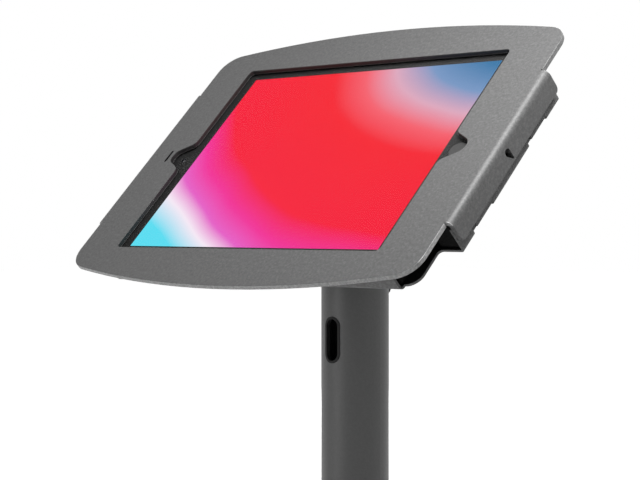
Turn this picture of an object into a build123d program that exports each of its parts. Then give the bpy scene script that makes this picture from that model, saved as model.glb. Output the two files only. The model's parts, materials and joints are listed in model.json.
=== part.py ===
from build123d import *
import os
from math import sqrt

# A countertop kiosk stand that locks a tablet behind a folded steel cover, tilted towards the user.
# Millimetres, +Z up, the user stands on the -Y side. The origin is on the pole's axis, at the counter.
# The head is drawn flat and then tilted: x to the right, y up the face, z out of the face, with
# z = 0 on the front of the cover. A depth is a distance behind that front face.

# Stand
face_tilt = 45.0
pole_length = 200.0
pole_diameter = 40.0
pole_wall = 2.0
pole_slot_width = 10.2
pole_slot_height = 26.0
slot_from_plug = 6.0
slot_grommet_wall = 0.8
slot_grommet_lip = 0.6
slot_grommet_lip_depth = 0.5

# Base
base_width = 220.0
base_length = 200.0
base_corner_radius = 24.0
base_plate_thickness = 6.0
base_edge_round = 1.2
base_mat_thickness = 2.0
base_mat_margin = 2.5
anchor_from_edge = 20.0
anchor_hole_radius = 3.25

# Pole foot and pole head, plugs that fit inside the tube
plug_clearance = 0.1
plug_height = 24.0
plug_wall = 4.9
foot_flange_thickness = 4.0
foot_flange_round = 1.0
foot_screw_count = 4
foot_screw_angle = 45.0
foot_screw_radius = 2.5
foot_screw_head_radius = 4.6
foot_screw_head_height = 2.6
foot_screw_head_to_pole = 0.9
foot_screw_head_to_rim = 1.9
foot_screw_length = 9.0
head_flange_thickness = 4.0
set_screw_radius = 2.5
set_screw_head_radius = 4.4
set_screw_head_height = 1.6
set_screw_length = 6.0
set_screw_seat = 0.5
set_screw_spread = 64.0
hex_socket_across = 3.0
hex_socket_depth = 1.0
screw_clearance = 0.1

# Tilt joint
pivot_standoff = 35.8
pivot_above_flange = 22.0
tongue_width = 35.0
tongue_thickness = 22.0
pivot_bolt_radius = 4.0
pivot_running_clearance = 0.06
pivot_head_radius = 7.0
pivot_head_height = 4.4
pivot_socket_across = 6.0
pivot_socket_depth = 2.0
pivot_nut_across = 13.0
pivot_nut_height = 6.5
pivot_thread_past_nut = 1.5
friction_washer_radius = 11.0
friction_washer_thickness = 1.5
friction_washer_play = 0.1
spring_washer_radius = 8.0
spring_washer_thickness = 1.6

# Tilt bracket
bracket_plate_size = 116.0
bracket_corner_radius = 8.0
bracket_sheet = 3.0
bracket_ear_width = 58.0
bracket_ear_tip_radius = 14.0
wide_hole_from_edge = 8.0
narrow_hole_step = 12.5
bracket_hole_play = 0.2
bracket_screw_radius = 2.0
bracket_screw_head_radius = 4.0
bracket_screw_head_height = 2.4
bracket_screw_length = 9.0
bracket_nut_across = 7.0
bracket_nut_height = 3.2

# Tablet, landscape, home button on the right
tablet_thickness = 7.5
tablet_corner_radius = 9.5
tablet_back_round = 3.6
tablet_shell_wall = 1.2
tablet_back_wall = 1.0
glass_thickness = 0.9
glass_inset = 1.0
glass_proud = 0.4
glass_seat_gap = 0.1
bezel_frame_thickness = 0.3
bezel_frame_gap = 0.2
screen_width = 196.6
screen_height = 147.5
screen_to_tablet_top = 11.0
display_border = 3.4
display_thickness = 1.8
battery_from_tablet_top = 18.75
battery_cell_thickness = 2.9
battery_cell_gap = 4.0
board_width = 18.0
board_thickness = 1.2
board_gap_to_battery = 6.0
board_gap_to_shell = 15.8
home_button_radius = 5.4
home_button_thickness = 1.6
home_button_sunk = 0.05
home_button_round = 0.1
home_button_gap = 0.12
home_button_to_display = 2.05
front_camera_radius = 1.6
front_camera_length = 2.2
rear_camera_radius = 3.6
rear_camera_length = 2.6
rear_camera_from_side = 11.5
rear_camera_from_top = 11.5
edge_button_width = 1.9
edge_button_proud = 0.3
edge_button_body = 1.6
edge_button_gap = 0.12
power_button_length = 10.0
power_button_from_corner = 18.0
volume_button_length = 9.0
volume_button_pitch = 11.0
volume_button_from_corner = 22.0
port_width = 9.2
port_height = 3.0

# Front cover
cover_sheet = 2.7
cover_past_tray = 19.95
cover_arc_radius = 676.0
cover_corner_radius = 15.0
cover_edge_round = 0.4
window_past_screen_x = 5.6
window_past_screen_y = 4.65
window_corner_radius = 3.0
notch_reach = 12.6
notch_tip_radius = 6.3
notch_mouth = 22.0
notch_mouth_round = 5.0
face_slot_length = 10.0
face_slot_width = 2.0
face_slot_from_notch = 3.4
wing_bend_radius = 3.9
wing_from_tablet_top = 27.05
wing_depth = 14.4
wing_corner_radius = 3.0
relief_length = 0.8
relief_reach = 1.0
drop_hole_radius = 2.3
drop_hole_up = 0.9
drop_hole_depth = 7.5
drop_tip_radius = 0.4
drop_tip_up = 2.8
drop_tip_depth = 13.0
drop_hole_margin = 1.0

# Foam between cover and glass, and round the tablet
gasket_thickness = 0.3
gasket_play = 0.1
gasket_width = 5.0
gasket_margin = 1.6
gasket_long_end_gap = 5.9
gasket_short_length = 50.0
foam_gap = 0.2
back_pad_width = 36.0
back_pad_height = 26.0
back_pad_thickness = 9.4
back_pad_inset = 9.0
back_pad_corner_radius = 2.0
side_pad_length = 36.0
side_pad_end_gap = 1.6
side_pad_front_depth = 3.6
short_pad_length = 14.0
short_pad_from_hook = 0.6

# Rear tray
tray_sheet = 1.5
tray_wall_gap = 0.4
tray_bend_radius = 2.0
end_bend_radius = 3.4
tablet_edge_gap = 0.4
side_wall_front_depth = 6.0
end_wall_front_depth = 3.3
neck_past_tablet = 0.1
neck_corner_radius = 7.9
neck_fillet_radius = 2.7
neck_relief = 0.6
end_wall_from_neck = 8.4
hook_slot_length = 22.6
hook_slot_from_upper_end = 26.3
hook_slot_from_lower_end = 23.8
hook_slot_reach = 1.7
hook_slot_rise = 0.8
hook_notch_length = 4.0
hook_notch_rise = 3.7
tray_cable_hole_radius = 15.0
grommet_wall = 1.6
grommet_lip = 2.0
grommet_lip_height = 1.4
grommet_back_lip = 1.8
grommet_back_gap = 0.2

# Cover hinge
hinge_knuckle_radius = 3.0
hinge_knuckle_gap = 0.35
hinge_leaf_thickness = 1.2
hinge_length = 60.0
hinge_end_knuckle = 18.0
hinge_knuckle_side_gap = 0.4
hinge_leaf_gap = 0.5
hinge_pin_radius = 1.5
hinge_pin_clearance = 0.05
hinge_pin_head_radius = 2.4
hinge_pin_head_length = 1.0
hinge_from_wall_end = 27.7
cover_leaf_reach = 7.0
tray_leaf_reach = 8.5
rivet_radius = 1.6
rivet_head_radius = 2.7
rivet_head_height = 0.8
rivet_spacing = 36.0

# Cam lock in the lower left ear of the tray
lock_nut_to_wall = 0.7
lock_nut_to_tablet = 1.0
lock_from_ear_end = 12.7
lock_barrel_wall = 1.84
lock_flange_rim = 1.5
lock_flange_thickness = 1.6
lock_hole_clearance = 0.15
lock_nut_wall = 1.2
lock_nut_thickness = 2.4
lock_plug_radius = 3.6
lock_plug_clearance = 0.06
lock_plug_proud = 0.3
keyway_width = 1.2
keyway_length = 5.0
keyway_depth = 5.0
cam_to_tablet = 0.8
cam_thickness = 1.5
cam_width = 7.0
cam_reach = 13.0
cam_gap = 0.1
cam_screw_radius = 1.4
cam_screw_head_radius = 2.4
cam_screw_head_height = 1.2
cam_screw_length = 4.5
hook_width = 8.4
hook_sheet = 2.0
hook_lip_reach = 5.0
hook_lip_clearance = 0.6
hook_cam_overlap = 4.0

# Shared by every cut
overrun = 5.0

# Stand, worked out from the sizes above
base_top = base_mat_thickness + base_plate_thickness
anchor_spacing_x = base_width - 2 * anchor_from_edge
anchor_spacing_y = base_length - 2 * anchor_from_edge
pole_radius = pole_diameter / 2
pole_bore_radius = pole_radius - pole_wall
plug_radius = pole_bore_radius - plug_clearance
plug_bore_radius = plug_radius - plug_wall
pole_bottom = base_top + foot_flange_thickness
pole_top = pole_bottom + pole_length
foot_screw_reach = pole_radius + foot_screw_head_to_pole + foot_screw_head_radius
foot_flange_radius = foot_screw_reach + foot_screw_head_radius + foot_screw_head_to_rim
set_screw_from_end = plug_height / 2
slot_from_end = plug_height + slot_from_plug + pole_slot_height / 2
pivot_z = pole_top + head_flange_thickness + pivot_above_flange
ear_inner = tongue_width / 2 + friction_washer_play + friction_washer_thickness
ear_outer = ear_inner + bracket_sheet
wide_hole_pitch = bracket_plate_size - 2 * wide_hole_from_edge
narrow_hole_pitch = wide_hole_pitch - 2 * narrow_hole_step
bracket_hole_radius = bracket_screw_radius + bracket_hole_play
bracket_cable_hole_radius = tray_cable_hole_radius + grommet_back_lip + grommet_back_gap

# Tablet, from its screen outwards
home_button_to_screen = display_border + home_button_to_display + home_button_radius
tablet_width = screen_width + 4 * home_button_to_screen
tablet_height = screen_height + 2 * screen_to_tablet_top
home_button_reach = screen_width / 2 + home_button_to_screen
glass_depth = cover_sheet + gasket_thickness + gasket_play
glass_back_depth = glass_depth + glass_thickness
rim_depth = glass_depth + glass_proud
tablet_back_depth = glass_depth + tablet_thickness
board_edge = tablet_width / 2 - glass_inset - tablet_shell_wall - board_gap_to_shell
battery_edge = board_edge - board_width - board_gap_to_battery
battery_cell_width = battery_edge - battery_cell_gap / 2
battery_cell_height = tablet_height - 2 * battery_from_tablet_top

# Lock, in the room between the tablet and the tray's wall
lock_body_radius = lock_plug_radius + lock_plug_clearance + lock_barrel_wall
lock_flange_radius = lock_body_radius + lock_flange_rim
lock_nut_across = 2 * (lock_body_radius + lock_nut_wall)
lock_room = lock_nut_to_tablet + lock_nut_across + lock_nut_to_wall

# Tray, round the tablet and the lock
tray_inner = tablet_width / 2 + lock_room
tray_outer = tray_inner + tray_sheet
tray_half_height = tablet_height / 2 + tablet_edge_gap + tray_sheet
wing_half_length = tablet_height / 2 - wing_from_tablet_top
wing_length = 2 * wing_half_length
hook_slot_upper_centre = wing_half_length - hook_slot_from_upper_end
hook_slot_lower_centre = hook_slot_from_lower_end - wing_half_length
tray_panel_depth = tablet_back_depth + foam_gap + back_pad_thickness
tray_depth = tray_panel_depth + tray_sheet
neck_width = tablet_width + 2 * neck_past_tablet
end_wall_length = neck_width - 2 * end_wall_from_neck
hinge_centre = end_wall_length / 2 - hinge_from_wall_end - hinge_length / 2
pivot_depth = tray_depth + pivot_standoff

# Cover, round the tray
wing_outer = tray_outer + tray_wall_gap + cover_sheet
cover_half_width = wing_outer - wing_bend_radius
cover_half_height = tray_half_height + cover_past_tray
window_width = screen_width + 2 * window_past_screen_x
window_height = screen_height + 2 * window_past_screen_y
gasket_long_length = window_width - 2 * gasket_long_end_gap
hinge_axis_y = tray_half_height + hinge_knuckle_radius + hinge_knuckle_gap
hinge_axis_depth = cover_sheet + hinge_knuckle_radius + hinge_knuckle_gap

# Places of the lock and of the hook that it holds
lock_x = lock_nut_across / 2 + lock_nut_to_wall - tray_inner
lock_y = lock_from_ear_end - wing_half_length
cam_depth = tablet_back_depth + cam_to_tablet
hook_tip = lock_y + cam_reach - hook_cam_overlap
hook_foot_low = hook_tip + hook_lip_reach
hook_foot_high = hook_foot_low + hook_width

head_frame = Pos(0, 0, pivot_z) * Rot(face_tilt, 0, 0) * Pos(0, 0, pivot_depth)


# Helpers

def save(name, *solids):
    """Write one node, as one or several separate solids."""
    shapes = [piece for solid in solids for piece in solid.solids()]
    export_step(Compound(children=shapes), os.path.join("parts", name + ".step"))


def save_head(name, *solids):
    """Write one node of the head, tilted into its place."""
    save(name, *[head_frame * solid for solid in solids])


def block(x_low, x_high, y_low, y_high, z_low, z_high):
    """A box between two corners."""
    size = (x_high - x_low, y_high - y_low, z_high - z_low)
    middle = ((x_high + x_low) / 2, (y_high + y_low) / 2, (z_high + z_low) / 2)
    return Pos(*middle) * Box(*size)


def disc(x, y, radius, z_low, z_high):
    """A round bar along z."""
    return Pos(x, y, (z_low + z_high) / 2) * Cylinder(radius, z_high - z_low)


def bar_x(y, z, radius, x_low, x_high):
    """A round bar along x."""
    return Pos((x_low + x_high) / 2, y, z) * Rot(0, 90, 0) * Cylinder(radius, x_high - x_low)


def slab(sketch, z_low, z_high):
    """A flat shape given a thickness along z."""
    return Pos(0, 0, z_low) * extrude(sketch, z_high - z_low, dir=(0, 0, 1))


def hexagon(across, z_low, z_high):
    """A hexagonal prism, named by its size across the flats."""
    outline = RegularPolygon(across / 2, 6, major_radius=False)
    return slab(outline, z_low, z_high)


def rounded(width, height, radius):
    """A rectangle with round corners."""
    return RectangleRounded(width, height, radius)


def both_sides(solid):
    """A piece and its mirror image across the middle of the head."""
    return [solid, mirror(solid, Plane.YZ)]


def corners(pitch_x, pitch_y):
    """The four corners of a rectangle."""
    return [(sx * pitch_x / 2, sy * pitch_y / 2) for sx in (-1, 1) for sy in (-1, 1)]


def folded_edge(sheet, outer_radius, leg, length, way):
    """A bend and its flange, off a panel that ends at x = 0 with its outer face on z = 0.

    The flange runs along z, up for way = 1 and down for way = -1, and is as long as leg
    measured from the panel's outer face.
    """
    inner_radius = outer_radius - sheet
    turn = sqrt(2) / 2
    centre = outer_radius
    outer_mid = (outer_radius * turn, way * (centre - outer_radius * turn))
    inner_mid = (inner_radius * turn, way * (centre - inner_radius * turn))
    edges = [
        ThreePointArc((0, 0), outer_mid, (outer_radius, way * centre)),
        Line((outer_radius, way * centre), (outer_radius, way * leg)),
        Line((outer_radius, way * leg), (inner_radius, way * leg)),
        Line((inner_radius, way * leg), (inner_radius, way * centre)),
        ThreePointArc((inner_radius, way * centre), inner_mid, (0, way * sheet)),
        Line((0, way * sheet), (0, 0)),
    ]
    section = Plane.XZ * make_face(edges)
    return extrude(section, length / 2, both=True)


def pan_screw(radius, length, head_radius, head_height):
    """A screw along z: shank below z = 0, low round head above it, with a hexagon socket."""
    head = slab(Circle(head_radius), 0, head_height)
    rim = head.edges().sort_by(Axis.Z)[-1]
    head = fillet(rim, head_height / 2)
    shank = slab(Circle(radius), -length, 0)
    socket = hexagon(hex_socket_across, head_height - hex_socket_depth, head_height + overrun)
    return head + shank - socket


def plain_nut(across, height, bore_radius):
    """A hexagon nut on z = 0 with its edges turned down."""
    nut = hexagon(across, 0, height)
    across_corners = across / sqrt(3)
    turned = slab(Circle(across_corners), 0, height)
    rims = turned.edges().filter_by(GeomType.CIRCLE)
    turned = chamfer(rims, across_corners - across / 2)
    return (nut & turned) - slab(Circle(bore_radius), -overrun, height + overrun)


def oval(width, height):
    """A slot outline that stands upright."""
    return Rot(0, 0, 90) * SlotOverall(height, width)


# Base

def foot_screw_spots():
    """Where the screws stand that hold the pole's foot to the base plate."""
    return PolarLocations(foot_screw_reach, foot_screw_count, foot_screw_angle)


def foot_screw_hole(z_low, z_high):
    return slab(Circle(foot_screw_radius + screw_clearance), z_low, z_high)


def base_outline(margin):
    return rounded(base_width - 2 * margin, base_length - 2 * margin, base_corner_radius - margin)


def make_base_plate():
    plate = slab(base_outline(0), base_mat_thickness, base_top)
    rim = plate.edges().group_by(Axis.Z)[-1]
    plate = fillet(rim, base_edge_round)
    for x, y in corners(anchor_spacing_x, anchor_spacing_y):
        plate -= disc(x, y, anchor_hole_radius, -overrun, base_top + overrun)
    plate -= disc(0, 0, plug_bore_radius, -overrun, base_top + overrun)
    thread = foot_screw_length - foot_flange_thickness + screw_clearance
    for spot in foot_screw_spots():
        plate -= spot * foot_screw_hole(base_top - thread, base_top + overrun)
    return plate


def make_base_mat():
    mat = slab(base_outline(base_mat_margin), 0, base_mat_thickness)
    for x, y in corners(anchor_spacing_x, anchor_spacing_y):
        mat -= disc(x, y, anchor_hole_radius, -overrun, base_mat_thickness + overrun)
    return mat - disc(0, 0, plug_bore_radius, -overrun, base_mat_thickness + overrun)


# Pole foot and its screws

def set_screw_spots(height):
    """Places for the two screws that pin a plug in the tube, behind the pole, with z outwards."""
    spots = []
    for side in (-1, 1):
        around = Rot(0, 0, 90 + side * set_screw_spread / 2)
        spots.append(around * Pos(pole_radius - set_screw_seat, 0, height) * Rot(0, 90, 0))
    return spots


def set_screw_hole():
    """A drilled hole with a flat seat for the head."""
    drill = slab(Circle(set_screw_radius + screw_clearance), -set_screw_length - screw_clearance, overrun)
    return drill + slab(Circle(set_screw_head_radius + screw_clearance), 0, overrun)


def make_pole_foot():
    flange = slab(Circle(foot_flange_radius), base_top, pole_bottom)
    rim = flange.edges().group_by(Axis.Z)[-1]
    flange = fillet(rim, foot_flange_round)
    foot = flange + slab(Circle(plug_radius), base_top, pole_bottom + plug_height)
    foot -= disc(0, 0, plug_bore_radius, base_top - overrun, pole_bottom + plug_height + overrun)
    for spot in foot_screw_spots():
        foot -= spot * foot_screw_hole(base_top - overrun, pole_bottom + overrun)
    for spot in set_screw_spots(pole_bottom + set_screw_from_end):
        foot -= spot * set_screw_hole()
    return foot


def make_foot_screws():
    screw = pan_screw(foot_screw_radius, foot_screw_length, foot_screw_head_radius, foot_screw_head_height)
    return [Pos(0, 0, pole_bottom) * spot * screw for spot in foot_screw_spots()]


def make_set_screws(height):
    screw = pan_screw(set_screw_radius, set_screw_length, set_screw_head_radius, set_screw_head_height)
    return [spot * screw for spot in set_screw_spots(height)]


# Pole

def slot_block(width, height, centre_z, way):
    """A slot through one wall of the pole, on the front for way = -1 and on the back for way = 1."""
    cutter = Plane.XZ * oval(width, height)
    cutter = extrude(cutter, pole_diameter, dir=(0, way, 0))
    return Pos(0, 0, centre_z) * cutter


def slot_places():
    """Each slot's height and the side of the pole that it is on."""
    return {"upper": (pole_top - slot_from_end, -1), "lower": (pole_bottom + slot_from_end, 1)}


def make_pole():
    tube = slab(Circle(pole_radius) - Circle(pole_bore_radius), pole_bottom, pole_top)
    for centre_z, way in slot_places().values():
        tube -= slot_block(pole_slot_width, pole_slot_height, centre_z, way)
    for height in (pole_bottom + set_screw_from_end, pole_top - set_screw_from_end):
        for spot in set_screw_spots(height):
            tube -= spot * set_screw_hole()
    return tube


def make_slot_grommet(name):
    """A thin edging that lines one slot, with a lip outside and inside the tube's wall."""
    centre_z, way = slot_places()[name]
    lip_outside = pole_radius + slot_grommet_lip_depth
    lip_inside = pole_bore_radius - slot_grommet_lip_depth
    wide = pole_slot_width + 2 * slot_grommet_lip
    tall = pole_slot_height + 2 * slot_grommet_lip
    ring = slab(Circle(lip_outside) - Circle(lip_inside), centre_z - tall, centre_z + tall)
    wall = slab(Circle(pole_radius) - Circle(pole_bore_radius), centre_z - tall, centre_z + tall)
    lips = ring & slot_block(wide, tall, centre_z, way)
    lips -= wall - slot_block(pole_slot_width, pole_slot_height, centre_z, way)
    clear_width = pole_slot_width - 2 * slot_grommet_wall
    clear_height = pole_slot_height - 2 * slot_grommet_wall
    return lips - slot_block(clear_width, clear_height, centre_z, way)


# Pole head: a plug with a flange and a tongue that carries the pivot

def make_pole_head():
    flange_top = pole_top + head_flange_thickness
    plug = slab(Circle(plug_radius), pole_top - plug_height, pole_top)
    flange = slab(Circle(pole_radius), pole_top, flange_top)
    rim = flange.edges().group_by(Axis.Z)[-1]
    flange = fillet(rim, foot_flange_round)
    half = tongue_width / 2
    tongue = block(-half, half, -tongue_thickness / 2, tongue_thickness / 2, flange_top, pivot_z)
    tongue += bar_x(0, pivot_z, tongue_thickness / 2, -half, half)
    tongue &= slab(Circle(pole_radius - foot_flange_round), flange_top, pivot_z + tongue_thickness)
    head = plug + flange + tongue
    head -= bar_x(0, pivot_z, pivot_bolt_radius + pivot_running_clearance, -half - overrun, half + overrun)
    for spot in set_screw_spots(pole_top - set_screw_from_end):
        head -= spot * set_screw_hole()
    return head - disc(0, 0, plug_bore_radius, pole_top - plug_height - overrun, pole_top)


# Tilt bracket, drawn flat with the head

def ear_profile():
    """One ear of the bracket, seen from the side, wide at the plate and round at the pivot."""
    back = -tray_depth - bracket_sheet
    root = Line((-bracket_ear_width / 2, back), (bracket_ear_width / 2, back))
    tip = Pos(0, -pivot_depth) * Circle(bracket_ear_tip_radius)
    return make_hull([root, *tip.edges()])


def make_tilt_bracket():
    back = -tray_depth - bracket_sheet
    plate = slab(rounded(bracket_plate_size, bracket_plate_size, bracket_corner_radius), back, -tray_depth)
    for pitch in (wide_hole_pitch, narrow_hole_pitch):
        for x, y in corners(pitch, pitch):
            plate -= disc(x, y, bracket_hole_radius, back - overrun, -tray_depth + overrun)
    plate -= disc(0, 0, bracket_cable_hole_radius, back - overrun, -tray_depth + overrun)
    profile = Plane.YZ * ear_profile()
    ear = Pos(ear_inner, 0, 0) * extrude(profile, bracket_sheet, dir=(1, 0, 0))
    ear -= bar_x(0, -pivot_depth, pivot_bolt_radius + pivot_running_clearance, -overrun, ear_outer + overrun)
    return Part() + [plate, *both_sides(ear)]


def make_pivot_bolt():
    """The bolt's head is on the left and its thread ends past the nut on the right."""
    thread_end = ear_outer + spring_washer_thickness + pivot_nut_height + pivot_thread_past_nut
    shank = bar_x(0, -pivot_depth, pivot_bolt_radius, -ear_outer, thread_end)
    head = slab(Circle(pivot_head_radius), 0, pivot_head_height)
    rim = head.edges().sort_by(Axis.Z)[-1]
    head = fillet(rim, pivot_head_height / 2)
    head -= hexagon(pivot_socket_across, pivot_head_height - pivot_socket_depth, pivot_head_height + overrun)
    return shank + Pos(-ear_outer, 0, -pivot_depth) * Rot(0, -90, 0) * head


def make_pivot_nut():
    nut = plain_nut(pivot_nut_across, pivot_nut_height, pivot_bolt_radius)
    return Pos(ear_outer + spring_washer_thickness, 0, -pivot_depth) * Rot(0, 90, 0) * nut


def ring_x(radius, x_low, x_high):
    """A flat washer on the pivot bolt."""
    washer = bar_x(0, -pivot_depth, radius, x_low, x_high)
    return washer - bar_x(0, -pivot_depth, pivot_bolt_radius, x_low - overrun, x_high + overrun)


def make_friction_washers():
    return both_sides(ring_x(friction_washer_radius, ear_inner - friction_washer_thickness, ear_inner))


def make_spring_washer():
    return ring_x(spring_washer_radius, ear_outer, ear_outer + spring_washer_thickness)


def make_bracket_screws():
    screw = pan_screw(
        bracket_screw_radius, bracket_screw_length, bracket_screw_head_radius, bracket_screw_head_height
    )
    return [Pos(x, y, -tray_panel_depth) * screw for x, y in corners(wide_hole_pitch, wide_hole_pitch)]


def make_bracket_nuts():
    nut = plain_nut(bracket_nut_across, bracket_nut_height, bracket_screw_radius)
    low = -tray_depth - bracket_sheet - bracket_nut_height
    return [Pos(x, y, low) * nut for x, y in corners(wide_hole_pitch, wide_hole_pitch)]


# Front cover

def cover_outline():
    """Straight sides, and a top and bottom edge that bow outwards."""
    apex = cover_half_height
    bow = cover_arc_radius - sqrt(cover_arc_radius ** 2 - cover_half_width ** 2)
    shoulder = apex - bow
    edges = [
        ThreePointArc((-cover_half_width, shoulder), (0, apex), (cover_half_width, shoulder)),
        Line((cover_half_width, shoulder), (cover_half_width, -shoulder)),
        ThreePointArc((cover_half_width, -shoulder), (0, -apex), (-cover_half_width, -shoulder)),
        Line((-cover_half_width, -shoulder), (-cover_half_width, shoulder)),
    ]
    outline = make_face(edges)
    return fillet(outline.vertices(), cover_corner_radius)


def window_opening():
    """The window with a thumb notch at each end, for the home button and the camera."""
    opening = rounded(window_width, window_height, window_corner_radius)
    mouth_x = window_width / 2
    tip_x = mouth_x + notch_reach - notch_tip_radius
    tip = Pos(tip_x, 0) * Circle(notch_tip_radius)
    mouth = Line((mouth_x, -notch_mouth / 2), (mouth_x, notch_mouth / 2))
    notch = make_hull([mouth, *tip.edges()])
    opening = opening + notch + mirror(notch, Plane.YZ)
    at_mouth = [
        corner for corner in opening.vertices()
        if abs(abs(corner.X) - mouth_x) < notch_tip_radius / 2 and abs(corner.Y) < notch_mouth
    ]
    return fillet(at_mouth, notch_mouth_round)


def drop_outline(margin):
    """The teardrop hole of a side wing, seen from the side, with its point towards the back."""
    round_end = Pos(drop_hole_up, -drop_hole_depth) * Circle(drop_hole_radius + margin)
    point = Pos(drop_tip_up, -drop_tip_depth) * Circle(drop_tip_radius + margin)
    return make_hull([*round_end.edges(), *point.edges()])


def drop_cutter(margin):
    """The teardrop as a cutter through the right hand wall."""
    cutter = extrude(Plane.YZ * drop_outline(margin), wing_outer, dir=(1, 0, 0))
    return Pos(cover_half_width - wing_bend_radius, 0, 0) * cutter


def make_wing():
    """The right hand wing: the side of the cover folded back over the tray."""
    wing = folded_edge(cover_sheet, wing_bend_radius, wing_depth, wing_length, -1)
    wing = Pos(cover_half_width, 0, 0) * wing
    tips = [edge for edge in wing.edges().filter_by(Axis.X) if edge.center().Z < -wing_depth / 2]
    wing = fillet(tips, wing_corner_radius)
    return wing - drop_cutter(0)


def make_front_cover():
    plate = slab(cover_outline() - window_opening(), -cover_sheet, 0)
    rims = plate.edges().group_by(Axis.Z)[-1]
    plate = fillet(rims, cover_edge_round)
    slot_x = -window_width / 2 - notch_reach - face_slot_from_notch
    slot = Pos(slot_x, 0) * oval(face_slot_width, face_slot_length)
    plate -= slab(slot, -cover_sheet - overrun, overrun)
    wing_seat = block(
        cover_half_width - cover_edge_round, cover_half_width,
        -wing_half_length, wing_half_length, -cover_sheet, 0,
    )
    cover = Part() + [plate, *both_sides(wing_seat), *both_sides(make_wing())]
    for side in (-1, 1):
        for end in (-1, 1):
            edge_x = side * cover_half_width
            edge_y = end * (wing_half_length + relief_length / 2)
            cover -= block(
                edge_x - relief_reach, edge_x + relief_reach,
                edge_y - relief_length / 2, edge_y + relief_length / 2,
                -cover_sheet - overrun, overrun,
            )
    return cover


def make_screen_gasket():
    """Strips of foam glued behind the cover, round the window and clear of its notches."""
    low = -cover_sheet - gasket_thickness
    y_mid = window_height / 2 + gasket_margin + gasket_width / 2
    x_mid = window_width / 2 + gasket_margin + gasket_width / 2
    side_y = window_height / 2 + gasket_margin - gasket_short_length / 2
    long_strip = Rectangle(gasket_long_length, gasket_width)
    short_strip = Rectangle(gasket_width, gasket_short_length)
    strips = [slab(Pos(0, side * y_mid) * long_strip, low, -cover_sheet) for side in (-1, 1)]
    for x, y in corners(2 * x_mid, 2 * side_y):
        strips.append(slab(Pos(x, y) * short_strip, low, -cover_sheet))
    return strips


# Rear tray

def tray_panel_outline():
    """The back panel: narrow at top and bottom, with an ear on each side for cables and the lock."""
    ear_x = tray_outer - tray_bend_radius
    ear_y = wing_half_length
    neck_x = neck_width / 2
    wall_x = end_wall_length / 2
    wall_y = tray_half_height - end_bend_radius
    neck_y = wall_y - neck_relief
    quarter = [(ear_x, ear_y), (neck_x, ear_y), (neck_x, neck_y), (wall_x, neck_y), (wall_x, wall_y)]
    right = [(x, -y) for x, y in reversed(quarter)] + quarter
    points = right + [(-x, y) for x, y in reversed(right)]
    outline = make_face(Polyline(*points, close=True))
    outline = fillet(near(outline, neck_x, neck_y), neck_corner_radius)
    return fillet(near(outline, neck_x, ear_y), neck_fillet_radius)


def near(sketch, x, y):
    """The corners of a sketch at a place and its mirror images."""
    reach = neck_fillet_radius / 2
    return [
        corner for corner in sketch.vertices()
        if abs(abs(corner.X) - x) < reach and abs(abs(corner.Y) - y) < reach
    ]


def tray_walls():
    side_leg = tray_depth - side_wall_front_depth
    end_leg = tray_depth - end_wall_front_depth
    side = folded_edge(tray_sheet, tray_bend_radius, side_leg, wing_length, 1)
    side = Pos(tray_outer - tray_bend_radius, 0, -tray_depth) * side - drop_cutter(drop_hole_margin)
    end = folded_edge(tray_sheet, end_bend_radius, end_leg, end_wall_length, 1)
    end = Pos(0, tray_half_height - end_bend_radius, -tray_depth) * Rot(0, 0, 90) * end
    return [*both_sides(side), end, mirror(end, Plane.XZ)]


def hook_slots():
    """Slots along the back of the side walls, with a deeper notch at the lower end.

    The left wall has only the upper one, because the lock stands where the lower one would be.
    """
    cutters = []
    for centre in (hook_slot_upper_centre, hook_slot_lower_centre):
        low = centre - hook_slot_length / 2
        slot = block(
            tray_inner - hook_slot_reach, tray_outer + overrun,
            low, low + hook_slot_length, -tray_depth - overrun, -tray_panel_depth + hook_slot_rise,
        )
        notch = block(
            tray_inner - tray_sheet, tray_outer + overrun,
            low, low + hook_notch_length, -tray_depth - overrun, -tray_panel_depth + hook_notch_rise,
        )
        for cutter in (slot, notch):
            cutters += both_sides(cutter) if centre > 0 else [cutter]
    return cutters


def rivet_places():
    """Where the rivets of one hinge stand, as x from the hinge's middle and a depth."""
    depth = hinge_axis_depth + hinge_knuckle_radius + hinge_leaf_gap + tray_leaf_reach / 2
    return [(step * rivet_spacing / 2, depth) for step in (-1, 1)]


def make_rivet_holes(y_low, y_high):
    """The rivet holes of one hinge."""
    return [bar_y(x, -depth, rivet_radius, y_low, y_high) for x, depth in rivet_places()]


def bar_y(x, z, radius, y_low, y_high):
    """A round bar along y."""
    return Pos(x, (y_low + y_high) / 2, z) * Rot(90, 0, 0) * Cylinder(radius, y_high - y_low)


def make_rear_tray():
    panel = slab(tray_panel_outline(), -tray_depth, -tray_panel_depth)
    tray = Part() + [panel, *tray_walls()]
    tray -= hook_slots()
    back = -tray_depth - overrun
    front = -tray_panel_depth + overrun
    for pitch in (wide_hole_pitch, narrow_hole_pitch):
        for x, y in corners(pitch, pitch):
            tray -= disc(x, y, bracket_hole_radius, back, front)
    tray -= disc(0, 0, tray_cable_hole_radius, back, front)
    tray -= disc(lock_x, lock_y, lock_body_radius + lock_hole_clearance, back, front)
    for hole in make_rivet_holes(tray_half_height - 2 * tray_sheet, tray_half_height + overrun):
        tray -= at_hinges(hole)
    return tray


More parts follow.
